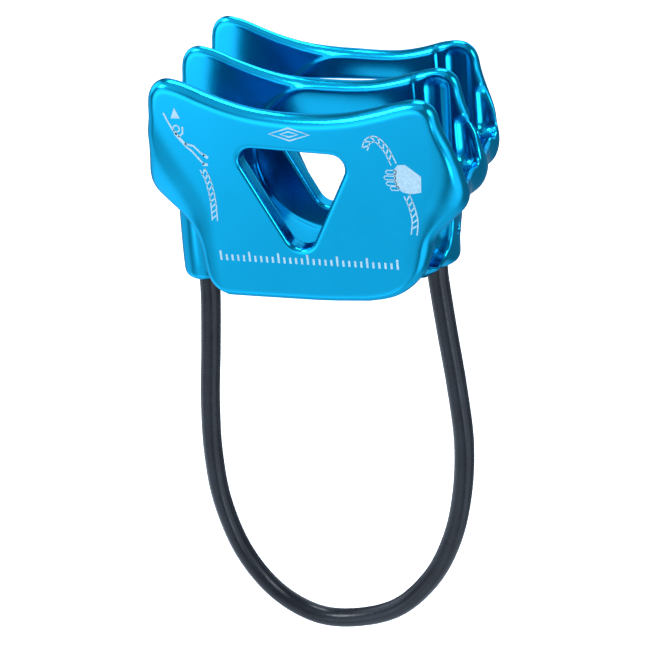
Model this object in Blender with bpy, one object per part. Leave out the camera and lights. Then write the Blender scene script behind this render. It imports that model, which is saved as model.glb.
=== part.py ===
# Belay device: a one-piece forged plate body with two rope slots, and a
# plastic-coated wire keeper loop swaged into two bosses under its lips.
# Blender 4.5, metres, +Z up.  X runs along the plates, Y through them (front
# is -Y), Z up.  The origin is on the underside of the middle plate, where the
# locking carabiner bears.
import bpy
import bmesh
import math
from mathutils import Vector, Matrix

MM = 0.001

# ---------------------------------------------------------------- dimensions
PLATE_PITCH = 15.5          # centre to centre of neighbouring plates
PLATE_T = 3.7               # plate thickness
SLOT_W = PLATE_PITCH - PLATE_T
HALF_STACK = PLATE_PITCH + PLATE_T / 2.0
SLOT_LEFT, SLOT_RIGHT = -14.5, 17.5       # rope slot ends, low down
GAP = 0.3                   # clearance between pieces that touch

BOSS_R = 4.6                # cable bosses under the lips
BOSS_LEFT_X, BOSS_LEFT_Z = -26.6, -4.5    # axis and underside
BOSS_RIGHT_X, BOSS_RIGHT_Z = 21.4, 1.0
BORE_R = 2.45               # blind bore of each boss
BORE_DEPTH = 14.0
ROOT_LEN = 4.0              # sheathed stretch inside the bore mouth

CABLE_R = 2.05              # sheath outside
CORE_R = 1.0                # wire rope
SHEATH_IN_R = CORE_R + GAP
FERRULE_R = BORE_R - GAP
FERRULE_LEN = 9.0
PIN_R = 0.8
PIN_HOLE_R = PIN_R + GAP
PIN_Z = 7.0                 # cross pin height above each boss's underside
PIVOT_DROP = CABLE_R + GAP  # flex point of the cable below each boss

# Plate outline, clockwise from the left ear, (x, z)
OUTLINE = [
    (-29.9, 21.7), (-29.3, 24.2), (-28.4, 27.0), (-27.7, 30.0), (-27.3, 33.0),
    (-26.9, 36.0), (-26.6, 38.5), (-26.0, 40.5), (-24.7, 42.0), (-22.7, 42.8),
    (-20.0, 42.4), (-17.5, 41.5), (-15.3, 40.5), (-10.5, 38.9), (-6.0, 37.8),
    (-1.0, 37.2), (3.5, 36.9), (8.5, 36.8), (13.0, 37.1), (17.5, 38.0),
    (21.4, 39.1), (24.0, 39.6), (26.0, 39.4), (27.5, 38.4), (28.3, 36.8),
    (28.7, 34.5), (29.3, 32.2), (30.2, 29.7), (31.1, 27.0), (31.6, 24.6),
    (32.0, 22.4), (32.1, 20.6), (31.6, 18.9), (30.4, 17.4), (28.4, 16.0),
    (26.6, 14.6), (25.5, 12.6), (24.8, 9.2), (23.8, 6.4), (22.1, 4.1),
    (19.8, 2.2), (17.0, 0.8), (13.4, 0.1), (10.0, 0.0), (-12.8, 0.0),
    (-15.8, 0.3), (-18.0, 1.5), (-19.4, 3.6), (-19.9, 6.6), (-20.1, 9.8),
    (-20.9, 12.6), (-22.4, 14.8), (-24.6, 16.5), (-27.2, 18.0), (-29.2, 19.4),
]

# Side view of one rope channel: a slot low down, flaring to the lips
CHANNEL = [
    (SLOT_LEFT, -10.0), (SLOT_LEFT, 10.0), (-15.5, 14.0), (-17.5, 18.0),
    (-20.5, 21.0), (-24.5, 23.0), (-30.0, 24.2), (-44.0, 25.0), (-44.0, 60.0),
    (48.0, 60.0), (48.0, 24.6), (36.0, 23.7), (31.0, 22.6), (26.5, 20.3),
    (22.6, 17.0), (19.6, 13.0), (SLOT_RIGHT, 8.0), (SLOT_RIGHT, -10.0),
]

# Weight-saving windows: corner points and corner radius
WINDOW = [(-11.8, 31.2), (12.4, 30.0), (0.9, 6.4)]
WINDOW_R = (2.6, 2.6, 3.2)
REAR_WINDOW = [(-16.5, 31.8), (17.5, 31.8), (7.5, 4.0), (-7.0, 4.0)]
REAR_WINDOW_R = (3.0, 3.0, 3.0, 3.0)

# Friction flutes on the brake side of each channel face: (x, radius, z foot, z top)
FLUTES = [(24.2, 3.2, 20.0, 38.0), (29.0, 2.4, 22.5, 31.0)]
FLUTE_DEPTH = 1.05

# The brake-side lips lean in and down towards the rear, mm for each mm of depth
LEAN_X, LEAN_Z = -0.030, -0.050

# Recesses between the outer plates' flanks and the right boss: (x, y, radius, z0, z1)
RECESS = (25.6, 8.1, 4.2, 4.2, 14.6)

# Keeper loop route in the plane y = 0, boss underside to boss underside
LOOP = [
    (BOSS_LEFT_X, BOSS_LEFT_Z), (-27.0, -10.0), (-28.7, -22.0), (-30.7, -35.0),
    (-31.9, -48.0), (-31.5, -61.0), (-28.2, -73.8), (-21.8, -83.6),
    (-13.0, -88.8), (-3.5, -88.5), (6.5, -84.2), (14.7, -75.1), (19.9, -64.3),
    (22.8, -52.6), (24.0, -40.0), (23.4, -27.0), (22.2, -13.5),
    (BOSS_RIGHT_X, -3.0), (BOSS_RIGHT_X, BOSS_RIGHT_Z),
]

# ------------------------------------------------------------------- set-up
for ob in list(bpy.data.objects):
    bpy.data.objects.remove(ob, do_unlink=True)

scene = bpy.context.scene
parts = bpy.data.collections.new("belay_device")
cutters = bpy.data.collections.new("cutters")
scene.collection.children.link(parts)
scene.collection.children.link(cutters)


def material(name, colour, rough, metal):
    m = bpy.data.materials.new(name)
    m.use_nodes = True
    p = m.node_tree.nodes["Principled BSDF"]
    p.inputs["Base Color"].default_value = (*colour, 1.0)
    p.inputs["Roughness"].default_value = rough
    p.inputs["Metallic"].default_value = metal
    return m


def add(name, mesh, collection, mat=None, smooth=False):
    ob = bpy.data.objects.new(name, mesh)
    collection.objects.link(ob)
    if mat is not None:
        mesh.materials.append(mat)
    if collection is cutters:
        ob.hide_render = True
        ob.display_type = 'WIRE'
    if smooth:
        mesh.shade_smooth()
        mesh.set_sharp_from_angle(angle=math.radians(35))
    return ob


def to_mesh(curve_ob):
    """Turn a curve object into a mesh with its caps welded."""
    bpy.context.view_layer.update()
    deps = bpy.context.evaluated_depsgraph_get()
    mesh = bpy.data.meshes.new_from_object(curve_ob.evaluated_get(deps))
    bm = bmesh.new()
    bm.from_mesh(mesh)
    bmesh.ops.remove_doubles(bm, verts=bm.verts, dist=1e-6)
    bm.transform(curve_ob.matrix_world)
    bmesh.ops.recalc_face_normals(bm, faces=bm.faces)
    bm.to_mesh(mesh)
    bm.free()
    bpy.data.objects.remove(curve_ob, do_unlink=True)
    return mesh


def catmull(points, per_span, closed):
    """Centripetal-free Catmull-Rom through points, per_span samples a span."""
    n = len(points)
    out = []
    spans = n if closed else n - 1
    for i in range(spans):
        def p(k):
            return Vector(points[k % n]) if closed else Vector(points[min(max(k, 0), n - 1)])
        a, b, c, d = p(i - 1), p(i), p(i + 1), p(i + 2)
        for s in range(per_span):
            t = s / per_span
            out.append(0.5 * ((2 * b) + (c - a) * t + (2 * a - 5 * b + 4 * c - d) * t ** 2
                              + (3 * b - a - 3 * c + d) * t ** 3))
    if not closed:
        out.append(Vector(points[-1]))
    return out


def rounded(corners, radius, steps=5):
    """Closed outline with each corner replaced by an arc of its own radius."""
    n = len(corners)
    out = []
    for i in range(n):
        p0, p1, p2 = Vector(corners[i - 1]), Vector(corners[i]), Vector(corners[(i + 1) % n])
        u, v = (p0 - p1).normalized(), (p2 - p1).normalized()
        r = radius[i]
        half = math.acos(max(-1.0, min(1.0, u.dot(v)))) / 2.0
        centre = p1 + (u + v).normalized() * (r / math.sin(half))
        a = p1 + u * (r / math.tan(half)) - centre
        b = p1 + v * (r / math.tan(half)) - centre
        turn = math.pi - 2.0 * half
        sign = 1.0 if (a.x * b.y - a.y * b.x) > 0 else -1.0
        for s in range(steps + 1):
            ang = sign * turn * s / steps
            out.append(centre + Vector((a.x * math.cos(ang) - a.y * math.sin(ang),
                                        a.x * math.sin(ang) + a.y * math.cos(ang))))
    return out


def slab(points, y0, y1):
    """Flat outline in X-Z, filled and extruded between two Y planes, as a mesh."""
    cu = bpy.data.curves.new("outline", 'CURVE')
    cu.dimensions = '2D'
    cu.fill_mode = 'BOTH'
    cu.extrude = abs(y1 - y0) / 2.0 * MM
    sp = cu.splines.new('POLY')
    sp.points.add(len(points) - 1)
    for k, q in enumerate(points):
        sp.points[k].co = (q[0] * MM, q[1] * MM, 0.0, 1.0)
    sp.use_cyclic_u = True
    ob = bpy.data.objects.new("outline", cu)
    scene.collection.objects.link(ob)
    ob.rotation_euler = (math.radians(90.0), 0.0, 0.0)
    ob.location = (0.0, (y0 + y1) / 2.0 * MM, 0.0)
    return to_mesh(ob)


def cylinder(r1, r2, z0, z1, x, y=0.0, sides=20, along_x=False):
    """Closed cylinder or cone; upright from z0 to z1, or from x0 to x1 when along_x."""
    bm = bmesh.new()
    bmesh.ops.create_cone(bm, cap_ends=True, segments=sides, radius1=r1 * MM,
                          radius2=r2 * MM, depth=abs(z1 - z0) * MM)
    bm.transform(Matrix.Translation((0.0, 0.0, (z0 + z1) / 2.0 * MM)))
    if along_x:
        bm.transform(Matrix.Rotation(math.radians(90.0), 4, 'Y'))
        bm.transform(Matrix.Translation((0.0, 0.0, x * MM)))
    else:
        bm.transform(Matrix.Translation((x * MM, y * MM, 0.0)))
    mesh = bpy.data.meshes.new("cylinder")
    bm.to_mesh(mesh)
    bm.free()
    return mesh


def tube(points, radius, resolution, scale=None):
    """Round bar along a route in the plane y = 0, with filled caps; scale gives
    each point's own share of the radius."""
    cu = bpy.data.curves.new("route", 'CURVE')
    cu.dimensions = '3D'
    cu.bevel_depth = radius * MM
    cu.bevel_resolution = resolution
    cu.use_fill_caps = True
    sp = cu.splines.new('POLY')
    sp.points.add(len(points) - 1)
    for k, q in enumerate(points):
        sp.points[k].co = (q[0] * MM, 0.0, q[1] * MM, 1.0)
        sp.points[k].radius = scale[k] if scale else 1.0
    ob = bpy.data.objects.new("route", cu)
    scene.collection.objects.link(ob)
    return to_mesh(ob)


def lean(mesh):
    """Carry the brake-side lips in and down with depth."""
    def ease(lo, hi, v):
        t = min(max((v - lo) / (hi - lo), 0.0), 1.0)
        return t * t * (3.0 - 2.0 * t)
    bm = bmesh.new()
    bm.from_mesh(mesh)
    bmesh.ops.triangulate(bm, faces=[f for f in bm.faces if abs(f.normal.y) < 0.5])
    for v in bm.verts:
        w = ease(19.0, 30.0, v.co.x / MM) * ease(6.0, 18.0, v.co.z / MM)
        v.co.x, v.co.z = v.co.x + LEAN_X * w * v.co.y, v.co.z + LEAN_Z * w * v.co.y
    bm.to_mesh(mesh)
    bm.free()
    return mesh


def boolean(target, cutter, operation):
    m = target.modifiers.new(cutter.name, 'BOOLEAN')
    m.operation = operation
    m.solver = 'EXACT'
    m.object = cutter


aluminium = material("anodised_aluminium", (0.010, 0.335, 0.70), 0.30, 0.85)
sheath_mat = material("black_sheath", (0.012, 0.014, 0.018), 0.28, 0.0)
steel_mat = material("wire_rope", (0.55, 0.56, 0.58), 0.35, 1.0)
ferrule_mat = material("ferrule_alloy", (0.62, 0.63, 0.66), 0.42, 1.0)
pin_mat = material("lock_pin_steel", (0.05, 0.09, 0.14), 0.40, 0.9)

# --------------------------------------------------------------------- body
body = add("body", lean(slab(catmull(OUTLINE, 1, True), -HALF_STACK, HALF_STACK)), parts, aluminium)

for side, bx, bz, slot_x in (("left", BOSS_LEFT_X, BOSS_LEFT_Z, SLOT_LEFT),
                             ("right", BOSS_RIGHT_X, BOSS_RIGHT_Z, SLOT_RIGHT)):
    boss = add("boss_" + side, cylinder(BOSS_R, BOSS_R, bz, 13.0, bx, sides=24), cutters)
    boolean(body, boss, 'UNION')
    neck = add("boss_neck_" + side, cylinder(BOSS_R - 0.15, 2.0, 12.4, 22.4, bx, sides=24), cutters)
    boolean(body, neck, 'UNION')
# web that ties the left boss to the end wall
web = add("boss_web_left", slab([(-27.0, -1.5), (-27.0, 20.0), (-24.0, 21.5), (-16.2, 14.0), (-16.2, 1.0), (-21.0, -1.5)],
                                -3.3, 3.3), cutters)
boolean(body, web, 'UNION')

for s in (-1.0, 1.0):
    rx, ry, rr, rz0, rz1 = RECESS
    rec = add("recess_%s" % ("front" if s < 0 else "rear"), cylinder(rr, rr, rz0, rz1, rx, s * ry, sides=20), cutters)
    boolean(body, rec, 'DIFFERENCE')

for k, y in ((1, -PLATE_PITCH / 2.0), (2, PLATE_PITCH / 2.0)):
    ch = add("channel_%d" % k, lean(slab(CHANNEL, y - SLOT_W / 2.0, y + SLOT_W / 2.0)), cutters)
    boolean(body, ch, 'DIFFERENCE')
    for f, (fx, fr, fz, ft) in enumerate(FLUTES):
        for s in (-1.0, 1.0):
            cy = y + s * (SLOT_W / 2.0 - fr + FLUTE_DEPTH)
            fl = add("flute_%d_%d_%s" % (k, f, "a" if s < 0 else "b"),
                     cylinder(fr, fr, fz, ft, fx, cy, sides=18), cutters)
            boolean(body, fl, 'DIFFERENCE')

front_window = add("window_front", slab(rounded(WINDOW, WINDOW_R), -HALF_STACK - 3.0, PLATE_T / 2.0 + 3.0), cutters)
boolean(body, front_window, 'DIFFERENCE')
rear_window = add("window_rear", slab(rounded(REAR_WINDOW, REAR_WINDOW_R), HALF_STACK - PLATE_T - 3.0, HALF_STACK + 3.0), cutters)
boolean(body, rear_window, 'DIFFERENCE')

for side, bx, bz, out in (("left", BOSS_LEFT_X, BOSS_LEFT_Z, -1.0),
                          ("right", BOSS_RIGHT_X, BOSS_RIGHT_Z, 1.0)):
    bore = add("bore_" + side, cylinder(BORE_R, BORE_R, bz - 5.0, bz + BORE_DEPTH, bx, sides=16), cutters)
    boolean(body, bore, 'DIFFERENCE')
    x0, x1 = sorted((bx + out * 1.0, bx + out * (BOSS_R + 3.0)))
    hole = add("cross_hole_" + side, cylinder(PIN_HOLE_R, PIN_HOLE_R, x0, x1, bz + PIN_Z, sides=12, along_x=True), cutters)
    boolean(body, hole, 'DIFFERENCE')

# --------------------------------------------- pieces held inside the bosses
for side, bx, bz, out in (("left", BOSS_LEFT_X, BOSS_LEFT_Z, -1.0),
                          ("right", BOSS_RIGHT_X, BOSS_RIGHT_Z, 1.0)):
    top = bz + ROOT_LEN + GAP
    ferrule = add("ferrule_" + side, cylinder(FERRULE_R, FERRULE_R, top, top + FERRULE_LEN, bx, sides=16), parts, ferrule_mat, True)
    eye = add("ferrule_eye_" + side, cylinder(SHEATH_IN_R, SHEATH_IN_R, top - 1.0, top + FERRULE_LEN + 1.0, bx, sides=12), cutters)
    boolean(ferrule, eye, 'DIFFERENCE')
    root = add("sheath_root_" + side, cylinder(CABLE_R, CABLE_R, bz + 0.1, bz + ROOT_LEN, bx, sides=16), parts, sheath_mat, True)
    root_eye = add("sheath_root_eye_" + side, cylinder(SHEATH_IN_R, SHEATH_IN_R, bz - 1.0, bz + ROOT_LEN + 1.0, bx, sides=12), cutters)
    boolean(root, root_eye, 'DIFFERENCE')
    add("core_tail_" + side, cylinder(CORE_R, CORE_R, bz + 0.1, top + FERRULE_LEN - 0.5, bx, sides=12), parts, steel_mat, True)
    x0, x1 = sorted((bx + out * (FERRULE_R + GAP), bx + out * (BOSS_R - 0.5)))
    add("lock_pin_" + side, cylinder(PIN_R, PIN_R, x0, x1, bz + PIN_Z, sides=12, along_x=True), parts, pin_mat, True)

# ------------------------------------------------------------- keeper loop
# The swinging stretch runs between the two flex points, PIVOT_DROP below each
# boss.  Its two ends are round about those points, so it turns without fouling.
pivot_l = Vector((BOSS_LEFT_X, 0.0, BOSS_LEFT_Z - PIVOT_DROP))
pivot_r = Vector((BOSS_RIGHT_X, 0.0, BOSS_RIGHT_Z - PIVOT_DROP))
route = catmull(LOOP, 4, False)
inner = [q for q in route if not (q[1] > pivot_l.z - 1.2 and q[0] < 0.0)
         and not (q[1] > pivot_r.z - 1.2 and q[0] > 0.0)]
moving = [Vector((pivot_l.x, pivot_l.z))] + inner + [Vector((pivot_r.x, pivot_r.z))]

flex = bpy.data.objects.new("keeper_flex_axis", None)
parts.objects.link(flex)
flex.location = (pivot_l + pivot_r) / 2.0 * MM

# round ends: the bar shrinks as a ball would, down to a rim just wider than the bore
rise = (0.6, 1.1, 1.4)
ball = [math.sqrt(CABLE_R ** 2 - h ** 2) / CABLE_R for h in rise]
ends_l = [moving[0] + Vector((0.0, h)) for h in reversed(rise)]
ends_r = [moving[-1] + Vector((0.0, h)) for h in rise]
sheath = add("keeper_sheath_loop",
             tube(ends_l + moving + ends_r, CABLE_R, 3, list(reversed(ball)) + [1.0] * len(moving) + ball),
             parts, sheath_mat, True)
up = Vector((0.0, 8.0))
lumen = add("sheath_lumen", tube([moving[0] + up] + moving + [moving[-1] + up], SHEATH_IN_R, 2), cutters)
boolean(sheath, lumen, 'DIFFERENCE')
core = add("keeper_core_loop", tube(moving, CORE_R, 2), parts, steel_mat, True)
for ob in (sheath, core):
    # origin and parent on the flex axis
    ob.data.transform(Matrix.Translation(-flex.location))
    ob.parent = flex
bpy.context.view_layer.update()
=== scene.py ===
import bpy
import bmesh
import math
import numpy as np
from mathutils import Vector, Matrix


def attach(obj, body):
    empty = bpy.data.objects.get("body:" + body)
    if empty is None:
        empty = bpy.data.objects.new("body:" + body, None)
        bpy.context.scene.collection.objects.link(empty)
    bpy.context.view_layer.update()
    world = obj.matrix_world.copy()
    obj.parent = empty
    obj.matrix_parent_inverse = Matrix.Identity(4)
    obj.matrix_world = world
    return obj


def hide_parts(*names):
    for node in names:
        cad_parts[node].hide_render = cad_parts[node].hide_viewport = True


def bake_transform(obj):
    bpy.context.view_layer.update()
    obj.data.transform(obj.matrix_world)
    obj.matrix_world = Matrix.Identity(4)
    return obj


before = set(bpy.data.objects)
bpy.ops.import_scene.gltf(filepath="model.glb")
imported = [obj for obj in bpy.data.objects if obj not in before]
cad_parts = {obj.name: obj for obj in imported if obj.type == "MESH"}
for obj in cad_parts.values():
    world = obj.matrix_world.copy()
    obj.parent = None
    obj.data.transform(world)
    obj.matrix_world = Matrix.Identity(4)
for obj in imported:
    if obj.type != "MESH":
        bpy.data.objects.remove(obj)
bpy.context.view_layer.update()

MM = 0.001
rng = np.random.default_rng(7)
scene = bpy.context.scene

# ===================================================================== camera
AZ, EL, ROLL = math.radians(21.50), math.radians(28.10), math.radians(-6.66)
back = np.array([math.sin(AZ) * math.cos(EL), -math.cos(AZ) * math.cos(EL), math.sin(EL)])
right0 = np.array([math.cos(AZ), math.sin(AZ), 0.0])
up0 = np.cross(back, right0)
right = right0 * math.cos(ROLL) + up0 * math.sin(ROLL)
up = -right0 * math.sin(ROLL) + up0 * math.cos(ROLL)
eye = np.array([-3.37, 0.0, -15.05]) + back * 339.3 + right * 0.36
cam_data = bpy.data.cameras.new("camera")
cam_data.sensor_width = 36.0
cam_data.lens = 1697.0 / 650.0 * 36.0
cam_data.clip_start, cam_data.clip_end = 0.01, 20.0
cam = bpy.data.objects.new("camera", cam_data)
scene.collection.objects.link(cam)
m = Matrix.Identity(4)
for r in range(3):
    m[r][0], m[r][1], m[r][2], m[r][3] = right[r], up[r], back[r], eye[r] * MM
cam.matrix_world = m
scene.camera = cam
scene.view_settings.view_transform = 'Standard'
scene.view_settings.look = 'None'

# ========================================================== shared dimensions
# (mm; the CAD part's numbers, with the outline moved by up to 0.9, the front window by up to 1.1
# and the middle window by up to 2.3 mm)
PITCH, PLATE_T = 15.5, 3.7
SLOT_W = PITCH - PLATE_T
HALF = PITCH + PLATE_T / 2.0
SLOT_LEFT, SLOT_RIGHT = -14.5, 17.5
BOSS_R = 4.6
BOSS_L = (-26.6, -4.5)
BOSS_RT = (21.4, 1.0)
BORE_R, BORE_DEPTH, ROOT_LEN = 2.45, 14.0, 4.0
CABLE_R = 2.05
PIVOT_DROP = CABLE_R + 0.3
PIN_Z, PIN_HOLE_R = 7.0, 1.1
LEAN_X, LEAN_Z, STAGGER = -0.030, -0.050, 0.038     # brake-side lips, mm for each mm of depth

OUTLINE = [
    (-29.9, 21.7), (-29.3, 24.2), (-28.4, 27.0), (-27.7, 30.0), (-27.3, 33.0),
    (-26.5, 36.0), (-26.1, 38.8), (-25.5, 40.9), (-24.2, 42.5), (-22.2, 43.2),
    (-19.6, 42.7), (-17.2, 41.8), (-15.0, 40.8), (-10.5, 39.1), (-6.0, 37.9),
    (-1.0, 37.2), (3.5, 36.9), (8.5, 36.8), (13.0, 37.1), (17.5, 38.0),
    (21.4, 39.1), (24.0, 39.6), (26.0, 39.4), (27.5, 38.4), (28.3, 36.8),
    (28.7, 34.5), (29.3, 32.2), (30.2, 29.7), (31.1, 27.0), (31.6, 24.6),
    (32.1, 22.4), (32.3, 20.3), (31.9, 18.4), (30.9, 16.8), (29.0, 15.4),
    (27.0, 14.0), (25.6, 12.2), (24.8, 9.2), (23.8, 6.4), (22.1, 4.1),
    (19.8, 2.2), (17.0, 0.8), (13.4, 0.1), (10.0, 0.0), (-12.8, 0.0),
    (-15.8, 0.3), (-18.0, 1.5), (-19.4, 3.6), (-19.9, 6.6), (-20.1, 9.8),
    (-20.9, 12.6), (-22.4, 14.8), (-24.6, 16.5), (-27.2, 18.0), (-29.2, 19.4),
]
CHANNEL = [
    (SLOT_LEFT, -10.0), (SLOT_LEFT, 10.0), (-15.5, 14.0), (-17.5, 18.0),
    (-20.5, 21.0), (-24.5, 23.0), (-30.0, 24.2), (-44.0, 25.0), (-44.0, 60.0),
    (48.0, 60.0), (48.0, 24.6), (36.0, 23.7), (31.0, 22.6), (26.5, 20.3),
    (22.6, 17.0), (19.6, 13.0), (SLOT_RIGHT, 8.0), (SLOT_RIGHT, -10.0),
]
WINDOW, WINDOW_R = [(-11.0, 30.4), (12.4, 29.2), (0.9, 6.7)], (2.6, 2.6, 3.0)
MID_WINDOW = [(-9.6, 30.4), (12.4, 29.2), (1.6, 8.2)]
REAR_WINDOW, REAR_WINDOW_R = [(-16.5, 31.8), (17.5, 31.8), (7.5, 4.0), (-7.0, 4.0)], (3.0, 3.0, 3.0, 3.0)
# where the outer faces stop being flat and sweep back to the lips
FLAT = [
    (-25.5, 60.0), (-25.0, 42.0), (-24.2, 36.5), (-22.4, 31.5), (-20.0, 26.5), (-17.2, 21.5),
    (-15.2, 16.0), (-14.9, 9.0), (-14.9, 2.5), (-14.0, -20.0), (17.0, -20.0), (18.6, 2.0), (20.2, 8.0),
    (21.4, 14.0), (23.2, 19.0), (25.6, 23.4), (27.0, 28.0), (26.6, 34.0), (26.4, 40.0), (27.0, 60.0),
]
LOOP = [
    BOSS_L, (-27.0, -10.0), (-28.7, -22.0), (-30.7, -35.0),
    (-31.9, -48.0), (-31.5, -61.0), (-28.2, -73.8), (-21.8, -83.6),
    (-13.0, -88.8), (-3.5, -88.5), (6.5, -84.2), (14.7, -75.1), (19.9, -64.3),
    (22.8, -52.6), (24.0, -40.0), (23.4, -27.0), (22.2, -13.5),
    (BOSS_RT[0], -3.0), BOSS_RT,
]


def catmull(points, per_span, closed):
    pts = np.array(points, float)
    n = len(pts)
    out = []
    for i in range(n if closed else n - 1):
        k = [(i - 1) % n, i % n, (i + 1) % n, (i + 2) % n] if closed else \
            [max(i - 1, 0), i, i + 1, min(i + 2, n - 1)]
        a, b, c, d = pts[k]
        for s in range(per_span):
            t = s / per_span
            out.append(0.5 * ((2 * b) + (c - a) * t + (2 * a - 5 * b + 4 * c - d) * t ** 2
                              + (3 * b - a - 3 * c + d) * t ** 3))
    if not closed:
        out.append(pts[-1])
    return np.array(out)


def rounded(corners, radius, steps=8):
    n = len(corners)
    out = []
    for i in range(n):
        p0, p1, p2 = (np.array(corners[j % n], float) for j in (i - 1, i, i + 1))
        u, v = (p0 - p1) / np.linalg.norm(p0 - p1), (p2 - p1) / np.linalg.norm(p2 - p1)
        half = math.acos(max(-1.0, min(1.0, float(u @ v)))) / 2.0
        r = radius[i]
        w = (u + v) / np.linalg.norm(u + v)
        centre = p1 + w * (r / math.sin(half))
        a = p1 + u * (r / math.tan(half)) - centre
        b = p1 + v * (r / math.tan(half)) - centre
        turn = (math.pi - 2.0 * half) * (1.0 if a[0] * b[1] - a[1] * b[0] > 0 else -1.0)
        for s in range(steps + 1):
            g = turn * s / steps
            out.append(centre + np.array([a[0] * math.cos(g) - a[1] * math.sin(g),
                                          a[0] * math.sin(g) + a[1] * math.cos(g)]))
    return np.array(out)


# =================================================== the forged body, as a field
H = 0.34                                   # sampling step, mm
x = np.arange(-34.0, 37.6, H, dtype=np.float32)
y = np.arange(-19.6, 19.7, H, dtype=np.float32)
z = np.arange(-6.6, 45.6, H, dtype=np.float32)
X2, Z2 = np.meshgrid(x, z, indexing="ij")
Y = y[None, :, None]


def poly_field(poly):
    """Signed distance to a closed outline in X-Z, on the 2-D grid; negative inside."""
    poly = np.asarray(poly, np.float32)
    d2 = np.full(X2.shape, 1e9, np.float32)
    inside = np.zeros(X2.shape, bool)
    for i in range(len(poly)):
        ax, az = poly[i - 1]
        bx, bz = poly[i]
        ex, ez = bx - ax, bz - az
        wx, wz = X2 - ax, Z2 - az
        t = np.clip((wx * ex + wz * ez) / (ex * ex + ez * ez + 1e-12), 0, 1)
        d2 = np.minimum(d2, (wx - ex * t) ** 2 + (wz - ez * t) ** 2)
        cross = ((az > Z2) != (bz > Z2)) & (X2 < (bx - ax) * (Z2 - az) / (bz - az + 1e-12) + ax)
        inside ^= cross
    d = np.sqrt(d2)
    return np.where(inside, -d, d).astype(np.float32)


def rmax(a, b, r):
    """Intersection with a rounded edge of radius r."""
    u, v = np.maximum(a + r, 0), np.maximum(b + r, 0)
    return np.minimum(-r, np.maximum(a, b)) + np.sqrt(u * u + v * v)


def smin(a, b, k):
    h = np.clip(0.5 + 0.5 * (b - a) / k, 0, 1)
    return b + (a - b) * h - k * h * (1 - h)


def smax(a, b, k):
    return -smin(-a, -b, k)


def step(lo, hi, v):
    t = np.clip((v - lo) / (hi - lo), 0, 1)
    return t * t * (3 - 2 * t)


def capsule(p, q, r):
    p, q = np.array(p, np.float32), np.array(q, np.float32)
    e = q - p
    wx, wy, wz = X2[:, None, :] - p[0], Y - p[1], Z2[:, None, :] - p[2]
    t = np.clip((wx * e[0] + wy * e[1] + wz * e[2]) / float(e @ e), 0, 1)
    return np.sqrt((wx - e[0] * t) ** 2 + (wy - e[1] * t) ** 2 + (wz - e[2] * t) ** 2) - r


def upright(cx, cy, r, z0, z1, edge, taper=0.0):
    """Upright cylinder with rounded ends; the radius shrinks by taper at the top."""
    rad = np.sqrt((X2[:, None, :] - cx) ** 2 + (Y - cy) ** 2)
    rr = r - taper * step(z0, z1, Z2)[:, None, :]
    ends = np.maximum(z0 - Z2, Z2 - z1)[:, None, :]
    return rmax(rad - rr, ends + 0 * rad, edge)


def sheared(f2):
    """A 2-D field carried through the stack: the brake-side lips lean in and down towards the rear."""
    w = step(19.0, 30.0, X2) * step(6.0, 18.0, Z2)
    wl = step(18.0, 2.0, X2)
    out = np.empty((len(x), len(y), len(z)), np.float32)
    for j, yy in enumerate(y):
        yw = w * (yy if yy > 0 else yy * step(37.0, 29.0, Z2))
        fx = np.clip((X2 - LEAN_X * yw - x[0]) / H, 0, len(x) - 1.001)
        fz = np.clip((Z2 - LEAN_Z * yw - STAGGER * wl * yy - z[0]) / H, 0, len(z) - 1.001)
        i0, k0 = fx.astype(int), fz.astype(int)
        tx, tz = fx - i0, fz - k0
        out[:, j, :] = ((f2[i0, k0] * (1 - tx) + f2[i0 + 1, k0] * tx) * (1 - tz)
                        + (f2[i0, k0 + 1] * (1 - tx) + f2[i0 + 1, k0 + 1] * tx) * tz)
    return out


outline = poly_field(catmull(OUTLINE, 4, True))
flat = np.maximum(poly_field(catmull(FLAT, 4, True)), 0)
sweep_r = np.where(X2 < 0, 16.0, 9.5)
far = np.minimum(flat, 0.80 * sweep_r)
sweep = sweep_r - np.sqrt(sweep_r ** 2 - far ** 2)           # how far the outer face has swept back
chan = poly_field(catmull(CHANNEL, 1, True))

# the brake-side lip is scalloped: each plate's ear stands proud of the channel ends
notch = (0.55 * (1 - np.cos(2 * np.pi * Y / PITCH))) * (step(27.0, 30.5, X2) * step(27.0, 23.5, Z2))[:, None, :]
block = rmax(sheared(outline) + notch, np.abs(Y) - (HALF - sweep)[:, None, :], 1.9)
del notch
chan = sheared(chan)
# cable bosses, with the web that ties the left one to the end wall
boss_l = upright(BOSS_L[0], 0.0, BOSS_R, BOSS_L[1], 21.5, 1.6, 1.2)
boss_r = upright(BOSS_RT[0], 0.0, BOSS_R, BOSS_RT[1], 17.5, 1.6, 0.6)
web = rmax(poly_field([(-27.0, -2.0), (-27.5, 20.0), (-23.0, 21.5), (-14.0, 14.0), (-14.0, 1.0), (-20.0, -2.0)])[:, None, :],
           np.abs(Y) - 3.4 + 0 * block, 1.5)
body = smin(block, smin(boss_l, web, 2.0), 3.2)
web_r = rmax(poly_field([(14.0, 1.4), (21.5, 1.4), (24.6, 3.4), (25.8, 9.0), (26.2, 14.0), (14.0, 14.0)])[:, None, :],
             np.abs(Y) - 9.5 + 0 * block, 1.8)
body = smin(body, smin(boss_r, web_r, 2.0), 2.6)
del boss_l, boss_r, web, web_r, block
# recesses between each outer plate's flank and the right boss
for s in (-1.0, 1.0):
    body = smax(body, -capsule((24.4, 7.7 * s, 8.0), (25.6, 7.7 * s, 11.0), 4.3), 0.8)
    body = smax(body, -capsule((-23.0, 8.6 * s, -3.0), (-25.0, 8.6 * s, 14.5), 3.6), 1.6)

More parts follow.
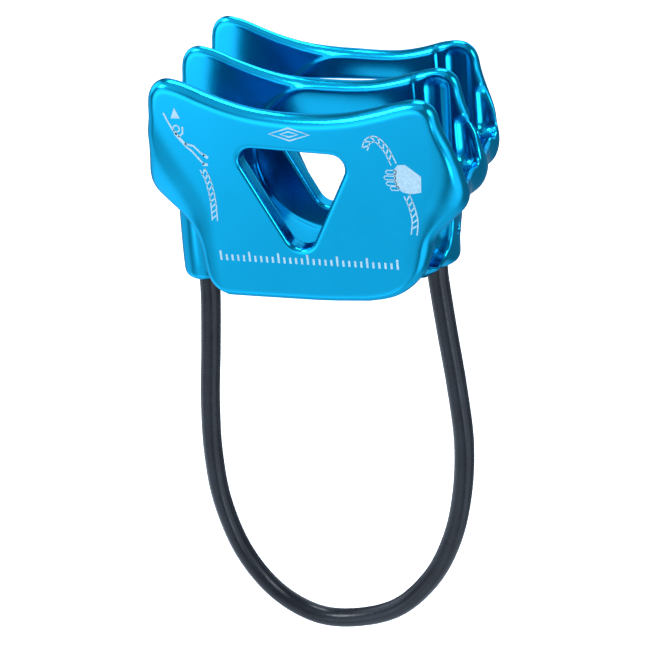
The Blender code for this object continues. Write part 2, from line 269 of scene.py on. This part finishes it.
# rope channels, with the climber side dished and the brake side stepped and fluted
ring = np.sqrt((X2 - 2.3) ** 2 + (Z2 - 21.8) ** 2)
edge_d = step(0.0, 1.2, ring - 14.2) * step(4.0, -4.0, X2)
dish_front = edge_d * (0.20 + 1.15 * (1 - np.exp(-np.maximum(ring - 14.2, 0) / 5.5)))
dish_back = edge_d * 0.20
ledge = step(19.4, 20.6, X2) * step(8.0, 14.0, Z2) * 0.50
for yc in (-PITCH / 2.0, PITCH / 2.0):
    out = 1.0 if yc > 0 else -1.0
    hw_outer = SLOT_W / 2.0 + (dish_front if out > 0 else dish_back) + ledge - 0.92 * sweep
    hw_inner = SLOT_W / 2.0 + (dish_back if out > 0 else dish_front) + ledge
    mid = yc + out * (hw_outer - hw_inner) / 2.0
    hw = (hw_outer + hw_inner) / 2.0
    ch = rmax(chan, np.abs(Y - mid[:, None, :]) - hw[:, None, :], 3.3)
    for (fx0, fz0, fx1, fz1, fr, depth, inset) in ((23.8, 20.5, 24.2, 36.2, 4.2, 0.85, 0.0),
                                                   (28.9, 23.4, 28.8, 29.2, 2.3, 0.80, 0.15)):
        for s in (-1.0, 1.0):
            wall = SLOT_W / 2.0 + 0.50 - (inset if s * out > 0 else 0.0)
            cy = yc + s * (wall - fr + depth)
            ch = smin(ch, capsule((fx0, cy, fz0), (fx1, cy, fz1), fr), 0.25)
    body = rmax(body, -ch, 1.5)
    del ch

win = poly_field(rounded(WINDOW, WINDOW_R))
rwin = poly_field(rounded(REAR_WINDOW, REAR_WINDOW_R))
body = rmax(body, -np.maximum(win[:, None, :], Y + 7.7), 0.6)
mwin = poly_field(rounded(MID_WINDOW, WINDOW_R))
body = rmax(body, -np.maximum(mwin[:, None, :], np.abs(Y) - 7.7), 0.6)
body = rmax(body, -np.maximum(rwin[:, None, :], 10.0 - Y), 0.6)
for (bx, bz), out in ((BOSS_L, -1.0), (BOSS_RT, 1.0)):
    rad = np.sqrt((X2[:, None, :] - bx) ** 2 + Y ** 2)
    body = rmax(body, -np.maximum(rad - BORE_R, (Z2 - (bz + BORE_DEPTH))[:, None, :]), 0.45)
    radp = np.sqrt(Y ** 2 + (Z2[:, None, :] - (bz + PIN_Z)) ** 2)
    side = -(X2 - bx)[:, None, :] * out
    body = rmax(body, -np.maximum(radp - PIN_HOLE_R, side), 0.3)
del rad, radp, side


def surface(field, axes):
    """Surface net of a sampled field: vertices in mm, quads and normals."""
    neg = field < 0
    nx, ny, nz = field.shape
    cell_any = np.zeros((nx - 1, ny - 1, nz - 1), bool)
    cell_all = np.ones_like(cell_any)
    for i in (0, 1):
        for j in (0, 1):
            for k in (0, 1):
                c = neg[i:nx - 1 + i, j:ny - 1 + j, k:nz - 1 + k]
                cell_any |= c
                cell_all &= c
    act = cell_any & ~cell_all
    ids = np.full(act.shape, -1, np.int64)
    idx = np.argwhere(act)
    ids[act] = np.arange(len(idx))
    acc = np.zeros((len(idx), 3))
    cnt = np.zeros(len(idx))
    I, J, K = idx.T
    corner = [(i, j, k) for i in (0, 1) for j in (0, 1) for k in (0, 1)]
    for a in corner:
        for d in range(3):
            if a[d]:
                continue
            b = list(a)
            b[d] = 1
            fa = field[I + a[0], J + a[1], K + a[2]]
            fb = field[I + b[0], J + b[1], K + b[2]]
            hit = (fa < 0) != (fb < 0)
            t = np.where(hit, fa / (fa - fb + 1e-20), 0)
            p = np.array(a, float)[None, :] + np.zeros((len(idx), 3))
            p[:, d] += t
            acc[hit] += p[hit]
            cnt[hit] += 1
    v = idx + acc / cnt[:, None]
    quads = []
    for d in range(3):
        e1, e2 = [(1, 2), (2, 0), (0, 1)][d]
        lo = [slice(1, n - 1) for n in field.shape]
        sl0, sl1 = list(lo), list(lo)
        sl0[d] = slice(0, field.shape[d] - 1)
        sl1[d] = slice(1, field.shape[d])
        n0, n1 = neg[tuple(sl0)], neg[tuple(sl1)]
        for flip, mask in ((False, n0 & ~n1), (True, ~n0 & n1)):
            q = np.argwhere(mask)
            off = [1, 1, 1]
            off[d] = 0
            q = q + np.array(off)
            u1, u2 = np.zeros(3, int), np.zeros(3, int)
            u1[e1], u2[e2] = 1, 1
            c = [q - u1 - u2, q - u2, q, q - u1]
            f = np.stack([ids[tuple(k.T)] for k in c], 1)
            quads.append(f[:, ::-1] if flip else f)
    quads = np.concatenate(quads)
    grads = [g.astype(np.float32) for g in np.gradient(field)]

    def sample(arr, p):
        p = np.clip(p, 0, np.array(arr.shape) - 1.001)
        f = np.floor(p).astype(int)
        t = p - f
        res = 0
        for a in corner:
            w = np.prod([t[:, k] if a[k] else 1 - t[:, k] for k in range(3)], axis=0)
            res = res + w * arr[f[:, 0] + a[0], f[:, 1] + a[1], f[:, 2] + a[2]]
        return res

    # ease the net along the surface, then put every vertex back on it
    e = np.concatenate([quads[:, [0, 1]], quads[:, [1, 2]], quads[:, [2, 3]], quads[:, [3, 0]]])
    deg = np.bincount(e.ravel(), minlength=len(v)).astype(float)
    for _ in range(4):
        s = np.stack([np.bincount(e[:, 0], v[e[:, 1], k], len(v)) + np.bincount(e[:, 1], v[e[:, 0], k], len(v))
                      for k in range(3)], 1) / deg[:, None]
        v = v * 0.5 + s * 0.5
        for _ in range(2):
            g = np.stack([sample(gr, v) for gr in grads], 1)
            f = sample(field, v)
            v = v - g * (f / np.maximum((g * g).sum(1), 1e-6))[:, None] * 0.9
    g = np.stack([sample(gr, v) for gr in grads], 1)
    nrm = g / np.maximum(np.linalg.norm(g, axis=1), 1e-9)[:, None]
    origin = np.array([a[0] for a in axes], float)
    return origin + v * H, quads, nrm


verts, quads, normals = surface(body, (x, y, z))
del body
mesh = bpy.data.meshes.new("forged_body")
mesh.from_pydata((verts * MM).tolist(), [], quads.tolist())
mesh.validate()
mesh.shade_smooth()
forged = bpy.data.objects.new("forged_body", mesh)
scene.collection.objects.link(forged)
print("forged body", len(mesh.vertices), "vertices", len(mesh.polygons), "faces")

# ==================================================================== materials


def new_mat(name):
    mt = bpy.data.materials.new(name)
    mt.use_nodes = True
    nt = mt.node_tree
    return mt, nt, nt.nodes["Principled BSDF"]


def link(nt, a, b):
    nt.links.new(a, b)


def coords(nt):
    tc = nt.nodes.new("ShaderNodeTexCoord")
    return tc.outputs["Object"]


def noise(nt, vec, scale, detail=2.0, rough=0.5):
    n = nt.nodes.new("ShaderNodeTexNoise")
    n.inputs["Scale"].default_value = scale
    n.inputs["Detail"].default_value = detail
    n.inputs["Roughness"].default_value = rough
    link(nt, vec, n.inputs["Vector"])
    return n.outputs["Fac"]


def ramp(nt, fac, stops):
    r = nt.nodes.new("ShaderNodeValToRGB")
    r.color_ramp.elements[0].position, r.color_ramp.elements[0].color = stops[0][0], (*stops[0][1], 1)
    r.color_ramp.elements[1].position, r.color_ramp.elements[1].color = stops[-1][0], (*stops[-1][1], 1)
    for p, c in stops[1:-1]:
        e = r.color_ramp.elements.new(p)
        e.color = (*c, 1)
    link(nt, fac, r.inputs["Fac"])
    return r.outputs["Color"]


def to_range(nt, fac, lo, hi, f0=0.0, f1=1.0):
    mr = nt.nodes.new("ShaderNodeMapRange")
    mr.inputs["From Min"].default_value, mr.inputs["From Max"].default_value = f0, f1
    mr.inputs["To Min"].default_value, mr.inputs["To Max"].default_value = lo, hi
    link(nt, fac, mr.inputs["Value"])
    return mr.outputs["Result"]


def bump(nt, height, strength, distance):
    b = nt.nodes.new("ShaderNodeBump")
    b.inputs["Strength"].default_value = strength
    b.inputs["Distance"].default_value = distance
    link(nt, height, b.inputs["Height"])
    return b.outputs["Normal"]


# anodised blue aluminium: bead-blasted grain under a bright dyed oxide
anod, nt, p = new_mat("anodised_blue")
vec = coords(nt)
tone = noise(nt, vec, 90.0, 3.0)
link(nt, ramp(nt, tone, [(0.30, (0.0012, 0.322, 0.530)), (0.55, (0.0014, 0.330, 0.545)), (0.75, (0.0016, 0.338, 0.560))]),
     p.inputs["Base Color"])
p.inputs["Metallic"].default_value = 1.0
link(nt, to_range(nt, noise(nt, vec, 420.0, 3.0), 0.185, 0.205, 0.3, 0.7), p.inputs["Roughness"])
p.inputs["Specular Tint"].default_value = (0.30, 0.78, 1.0, 1.0)
p.inputs["Coat Weight"].default_value = 0.08
p.inputs["Coat Roughness"].default_value = 0.12
p.inputs["Coat IOR"].default_value = 1.6
link(nt, bump(nt, noise(nt, vec, 5200.0, 2.0, 0.6), 0.10, 0.00004), p.inputs["Normal"])

# black plastic sheath: glossy, with faint extrusion drag lines and handling marks
sheath_m, nt, p = new_mat("sheath_plastic")
vec = coords(nt)
link(nt, ramp(nt, noise(nt, vec, 160.0, 3.0), [(0.3, (0.006, 0.007, 0.010)), (0.7, (0.011, 0.013, 0.017))]), p.inputs["Base Color"])
link(nt, to_range(nt, noise(nt, vec, 700.0, 4.0), 0.20, 0.36, 0.3, 0.7), p.inputs["Roughness"])
p.inputs["Specular IOR Level"].default_value = 0.24
p.inputs["Coat Weight"].default_value = 0.06
p.inputs["Coat Roughness"].default_value = 0.15
link(nt, bump(nt, noise(nt, vec, 2600.0, 3.0), 0.10, 0.00005), p.inputs["Normal"])

# wire rope, ferrules, pins
wire_m, nt, p = new_mat("wire_rope_bright")
vec = coords(nt)
wv = nt.nodes.new("ShaderNodeTexWave")
wv.bands_direction = 'DIAGONAL'
wv.inputs["Scale"].default_value = 700.0
link(nt, vec, wv.inputs["Vector"])
# the strand bands are painted shade and highlight: darker where the bump sinks into the grooves between strands,
# lighter on the raised crowns
link(nt, ramp(nt, wv.outputs["Fac"], [(0.2, (0.25, 0.25, 0.26)), (0.8, (0.62, 0.63, 0.65))]), p.inputs["Base Color"])
p.inputs["Metallic"].default_value = 1.0
p.inputs["Roughness"].default_value = 0.34
link(nt, bump(nt, wv.outputs["Fac"], 0.5, 0.0001), p.inputs["Normal"])

ferr_m, nt, p = new_mat("ferrule_swaged")
vec = coords(nt)
link(nt, ramp(nt, noise(nt, vec, 500.0, 3.0), [(0.3, (0.50, 0.51, 0.53)), (0.7, (0.68, 0.69, 0.71))]), p.inputs["Base Color"])
p.inputs["Metallic"].default_value = 1.0
link(nt, to_range(nt, noise(nt, vec, 900.0, 3.0), 0.34, 0.52, 0.3, 0.7), p.inputs["Roughness"])

pin_m, nt, p = new_mat("pin_dark")
vec = coords(nt)
link(nt, ramp(nt, noise(nt, vec, 800.0, 3.0), [(0.3, (0.012, 0.060, 0.110)), (0.7, (0.020, 0.090, 0.160))]), p.inputs["Base Color"])
p.inputs["Metallic"].default_value = 1.0
link(nt, to_range(nt, noise(nt, vec, 1500.0, 3.0), 0.30, 0.48, 0.3, 0.7), p.inputs["Roughness"])

# laser marking: the dye is burnt off, leaving a matt, slightly frosted white
mark_m, nt, p = new_mat("laser_mark")
vec = coords(nt)
link(nt, ramp(nt, noise(nt, vec, 2500.0, 3.0), [(0.3, (0.25, 0.40, 0.49)), (0.7, (0.35, 0.50, 0.58))]), p.inputs["Base Color"])
p.inputs["Metallic"].default_value = 0.1
link(nt, to_range(nt, noise(nt, vec, 3200.0, 2.0), 0.50, 0.70, 0.3, 0.7), p.inputs["Roughness"])

forged.data.materials.append(anod)
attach(forged, "device")
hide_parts("body")

# ============================================================== laser marking
# (plain pictograms of this model's own: pull arrow, hanging climber, ropes, brake hand, a tick scale)


def face_y(px, pz):
    """Height of the front face at a point, just proud of it."""
    fx, fz = (px - x[0]) / H, (pz - z[0]) / H
    i0, k0 = int(fx), int(fz)
    tx, tz = fx - i0, fz - k0
    sw = ((sweep[i0, k0] * (1 - tx) + sweep[i0 + 1, k0] * tx) * (1 - tz)
          + (sweep[i0, k0 + 1] * (1 - tx) + sweep[i0 + 1, k0 + 1] * tx) * tz)
    return -(HALF - float(sw)) - 0.03


mk_v, mk_f = [], []


def ribbon(points, width, closed=False):
    """A stroke of even width along a polyline on the front face."""
    pts = np.array(points, float)
    n = len(pts)
    base = len(mk_v)
    for i in range(n):
        if closed:
            t = pts[(i + 1) % n] - pts[i - 1]
        else:
            t = pts[min(i + 1, n - 1)] - pts[max(i - 1, 0)]
        t = t / max(np.linalg.norm(t), 1e-9)
        nn = np.array([-t[1], t[0]]) * width / 2.0
        for q in (pts[i] + nn, pts[i] - nn):
            mk_v.append((q[0], face_y(q[0], q[1]), q[1]))
    for i in range(n if closed else n - 1):
        a, b = base + 2 * i, base + 2 * ((i + 1) % n)
        mk_f.append((a, a + 1, b + 1, b))


def blob(points):
    base = len(mk_v)
    for px, pz in points:
        mk_v.append((px, face_y(px, pz), pz))
    mk_f.append(tuple(range(base, base + len(points))))


def ring(cx, cz, r, width, sides=16):
    ribbon([(cx + r * math.cos(2 * math.pi * k / sides), cz + r * math.sin(2 * math.pi * k / sides)) for k in range(sides)], width, True)


def rope(points, half=0.52):
    """Two edge lines with slanted strands between them."""
    line = catmull(points, 10, False)
    d = np.concatenate([[0], np.cumsum(np.linalg.norm(np.diff(line, axis=0), axis=1))])
    t = np.gradient(line, axis=0)
    t /= np.linalg.norm(t, axis=1)[:, None]
    nn = np.stack([-t[:, 1], t[:, 0]], 1) * half
    ribbon(line + nn, 0.22)
    ribbon(line - nn, 0.22)

    def at(u, side):
        q = np.array([np.interp(u, d, line[:, 0] + nn[:, 0] * side), np.interp(u, d, line[:, 1] + nn[:, 1] * side)])
        return q
    u = 0.1
    while u + 0.9 < d[-1]:
        ribbon([at(u, 1.0), at(u + 0.45, 0.0), at(u + 0.9, -1.0)], 0.26)
        u += 1.15


blob([(-20.3, 37.9), (-21.3, 35.8), (-19.5, 35.8)])
ribbon([(-22.6, 36.8), (-22.0, 35.2), (-21.2, 33.5), (-20.6, 32.6)], 0.34)
ring(-20.5, 33.8, 0.62, 0.24)
ribbon([(-20.9, 32.9), (-20.0, 31.7), (-19.1, 30.6)], 0.62)
ribbon([(-20.3, 32.2), (-19.4, 32.9), (-19.2, 34.2)], 0.34)
ribbon([(-19.3, 30.9), (-17.6, 30.5), (-16.6, 29.4), (-15.7, 28.6)], 0.36)
ribbon([(-19.3, 30.5), (-18.0, 29.4), (-16.9, 28.0), (-16.0, 26.9)], 0.36)
ribbon([(-15.9, 28.9), (-15.1, 28.2)], 0.55)
ribbon([(-16.3, 26.9), (-15.3, 26.9)], 0.55)
rope([(-16.5, 26.0), (-15.7, 23.6), (-15.3, 19.8), (-15.5, 15.6)])
rope([(15.1, 30.9), (15.9, 32.5), (17.4, 32.8), (19.0, 31.0), (20.2, 28.2)])
rope([(22.1, 22.3), (22.8, 20.2), (23.2, 17.4), (22.8, 14.6)])
blob([(20.1, 27.2), (20.9, 28.1), (22.2, 28.2), (23.4, 27.3), (25.0, 26.0), (24.8, 23.0), (22.9, 22.6), (21.4, 22.9),
      (20.3, 23.9), (20.0, 25.4)])
for hx, hz, hl in ((19.7, 26.7, 1.7), (19.4, 25.6, 1.9), (19.6, 24.5, 1.7), (20.1, 23.6, 1.4)):
    ribbon([(hx - hl * 0.5, hz + 0.36), (hx + hl * 0.4, hz + 0.36), (hx + hl * 0.5, hz), (hx + hl * 0.4, hz - 0.36),
            (hx - hl * 0.5, hz - 0.36), (hx - hl * 0.66, hz)], 0.20, True)
# a plain lozenge above the window
ribbon([(-2.6, 33.3), (1.2, 34.5), (5.0, 33.3), (1.2, 32.1)], 0.34, True)
ribbon([(-0.5, 33.3), (1.2, 33.8), (2.9, 33.3), (1.2, 32.8)], 0.30, True)
# a tick scale along the foot
for k in range(31):
    tall = 2.0 if k % 5 == 0 else 1.25
    tx = -15.3 + 1.15 * k
    ribbon([(tx, 7.5), (tx, 7.5 + tall)], 0.42)
mesh = bpy.data.meshes.new("laser_marks")
mesh.from_pydata([(a * MM, b * MM, c * MM) for a, b, c in mk_v], [], mk_f)
mesh.validate()
for poly in mesh.polygons:
    if poly.normal.y > 0:
        poly.flip()
marks = bpy.data.objects.new("laser_marks", mesh)
scene.collection.objects.link(marks)
marks.data.materials.append(mark_m)
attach(marks, "device")

# ================================================================ the sheath
# (the outer surface of the coated cable, from inside one boss to inside the other)
route = catmull(LOOP, 14, False)
seg = np.concatenate([[0], np.cumsum(np.linalg.norm(np.diff(route, axis=0), axis=1))])
length = float(seg[-1])
ss = np.arange(0.0, length + 0.35, 0.7)
ss = np.linspace(0.0, length, len(ss))
line = np.stack([np.interp(ss, seg, route[:, k]) for k in (0, 1)], 1)
lead = np.array([[0.0, h] for h in (3.4, 3.2, 2.4, 1.6, 0.8)])
full = np.concatenate([line[0] + lead, line, line[-1] + lead[::-1]])
tan = np.gradient(full, axis=0)
tan /= np.linalg.norm(tan, axis=1)[:, None]
side_v = np.stack([-tan[:, 1], tan[:, 0]], 1)            # normal in the loop's plane
NS = 28
vs, fs = [], []
rr = np.full(len(full), CABLE_R)
rr[0] = rr[-1] = CABLE_R - 0.25
for i in range(len(full)):
    for k in range(NS):
        g = 2 * math.pi * k / NS
        c, s = math.cos(g) * rr[i], math.sin(g) * rr[i]
        vs.append((full[i, 0] + side_v[i, 0] * c, s, full[i, 1] + side_v[i, 1] * c))
for i in range(len(full) - 1):
    for k in range(NS):
        a, b = i * NS + k, i * NS + (k + 1) % NS
        fs.append((a, b, b + NS, a + NS))
fs.append(tuple(range(NS))[::-1])
fs.append(tuple((len(full) - 1) * NS + k for k in range(NS)))
mesh = bpy.data.meshes.new("keeper_sheath")
mesh.from_pydata([(a * MM, b * MM, c * MM) for a, b, c in vs], [], fs)
bm = bmesh.new()
bm.from_mesh(mesh)
bmesh.ops.recalc_face_normals(bm, faces=bm.faces)
bm.to_mesh(mesh)
bm.free()
mesh.shade_smooth()
mesh.set_sharp_from_angle(angle=math.radians(60))
sheath = bpy.data.objects.new("keeper_sheath", mesh)
scene.collection.objects.link(sheath)
sheath.data.materials.append(sheath_m)
pl = np.array([BOSS_L[0], BOSS_L[1] - PIVOT_DROP])
pr = np.array([BOSS_RT[0], BOSS_RT[1] - PIVOT_DROP])
mid = (pl + pr) / 2
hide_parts("keeper_sheath_loop", "keeper_core_loop", "sheath_root_left", "sheath_root_right")
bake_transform(sheath)
print("cord length mm", round(length, 1))

# carried-over pieces get their own finishes
for node, mt in (("core_tail_left", wire_m), ("core_tail_right", wire_m),
                 ("ferrule_left", ferr_m), ("ferrule_right", ferr_m),
                 ("lock_pin_left", pin_m), ("lock_pin_right", pin_m)):
    ob = bpy.data.objects.get(node)
    if ob is None:
        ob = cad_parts[node]
    if len(ob.material_slots) == 0:
        ob.data.materials.append(mt)
    for sl in ob.material_slots:
        sl.material = mt

# ===================================================== stage, light and world
bpy.ops.mesh.primitive_plane_add(size=6.0, location=(0.0, 0.0, -0.30))
floor = bpy.context.active_object
floor.name = "floor"
fm, nt, p = new_mat("pale_floor")
p.inputs["Base Color"].default_value = (0.93, 0.93, 0.93, 1)
p.inputs["Roughness"].default_value = 0.9
p.inputs["Emission Color"].default_value = (1, 1, 1, 1)
p.inputs["Emission Strength"].default_value = 0.55
floor.data.materials.append(fm)
floor.visible_glossy = False


def area(name, loc, target, size, power, size_y=None):
    d = bpy.data.lights.new(name, 'AREA')
    d.energy = power
    d.size = size
    d.color = (0.86, 0.95, 1.0)
    if size_y:
        d.shape = 'RECTANGLE'
        d.size_y = size_y
    ob = bpy.data.objects.new(name, d)
    scene.collection.objects.link(ob)
    ob.location = loc
    ob.rotation_euler = (Vector(target) - Vector(loc)).to_track_quat('-Z', 'Y').to_euler()
    return ob


area("key", (-0.55, -0.55, 0.75), (0, 0, 0.0), 0.35, 6.5)
area("fill", (0.75, -0.35, 0.35), (0, 0, 0.0), 0.35, 2.6)
area("top", (0.0, 0.35, 0.8), (0, 0, 0.02), 0.4, 5.0)

CARDS = [
    ((-0.34, -0.79, -0.50), 21.0, 38.0, 0.74),     # the paper sweep in front, seen by the flat face
    ((-0.66, -0.58, -0.47), 5.0, 15.0, -0.34),     # black flag at its left edge
    ((-0.20, -0.05, -0.98), 28.0, 60.0, 0.80),     # bounce from the white floor
    ((-0.87, 0.05, -0.48), 16.0, 32.0, 0.75),      # paper low on the left
    ((0.80, -0.38, -0.46), 14.0, 34.0, 1.45),      # paper low on the right
    ((-0.50, -0.86, 0.04), 13.0, 28.0, 1.80),      # soft box in front
    ((-0.25, -0.45, 0.86), 24.0, 44.0, 0.66),      # big soft box overhead
    ((0.62, -0.70, -0.35), 5.0, 14.0, 3.20),       # narrow strip, front right
    ((0.92, -0.25, 0.25), 10.0, 26.0, 1.40),       # strip on the right
    ((-0.90, 0.10, 0.42), 14.0, 34.0, 2.20),       # strip on the left
    ((0.10, 0.95, 0.30), 14.0, 34.0, 1.10),        # rim light behind
]
world = bpy.data.worlds.new("studio") if scene.world is None else scene.world
scene.world = world
world.use_nodes = True
nt = world.node_tree
nt.nodes.clear()
outn = nt.nodes.new("ShaderNodeOutputWorld")
bg_env = nt.nodes.new("ShaderNodeBackground")
bg_cam = nt.nodes.new("ShaderNodeBackground")
mixn = nt.nodes.new("ShaderNodeMixShader")
lp = nt.nodes.new("ShaderNodeLightPath")
bg_cam.inputs["Color"].default_value = (1, 1, 1, 1)
bg_cam.inputs["Strength"].default_value = 1.0
tc = nt.nodes.new("ShaderNodeTexCoord")
sep = nt.nodes.new("ShaderNodeSeparateXYZ")
nt.links.new(tc.outputs["Generated"], sep.inputs[0])


def vmath(op, a, b):
    n = nt.nodes.new("ShaderNodeVectorMath")
    n.operation = op
    nt.links.new(a, n.inputs[0])
    n.inputs[1].default_value = b
    return n


def scalar(op, a, b):
    n = nt.nodes.new("ShaderNodeMath")
    n.operation = op
    for i, v in enumerate((a, b)):
        if isinstance(v, (int, float)):
            n.inputs[i].default_value = v
        else:
            nt.links.new(v, n.inputs[i])
    return n.outputs[0]


def card(centre, inner, outer, level):
    """A soft round light in the direction centre, full inside inner degrees and gone outside outer."""
    c = np.array(centre, float)
    c /= np.linalg.norm(c)
    d = vmath('DOT_PRODUCT', tc.outputs["Generated"], tuple(c)).outputs["Value"]
    mr = nt.nodes.new("ShaderNodeMapRange")
    mr.interpolation_type = 'SMOOTHSTEP'
    mr.inputs["From Min"].default_value = math.cos(math.radians(outer))
    mr.inputs["From Max"].default_value = math.cos(math.radians(inner))
    mr.inputs["To Min"].default_value, mr.inputs["To Max"].default_value = 0.0, level
    nt.links.new(d, mr.inputs["Value"])
    return mr.outputs["Result"]


level = 0.34
for args in CARDS:
    level = scalar('ADD', level, card(*args))
level = scalar('MAXIMUM', level, 0.02)
nt.links.new(level, bg_env.inputs["Strength"])
bg_env.inputs["Color"].default_value = (0.80, 0.93, 1.12, 1)
nt.links.new(lp.outputs["Is Camera Ray"], mixn.inputs["Fac"])
nt.links.new(bg_env.outputs[0], mixn.inputs[1])
nt.links.new(bg_cam.outputs[0], mixn.inputs[2])
nt.links.new(mixn.outputs[0], outn.inputs["Surface"])
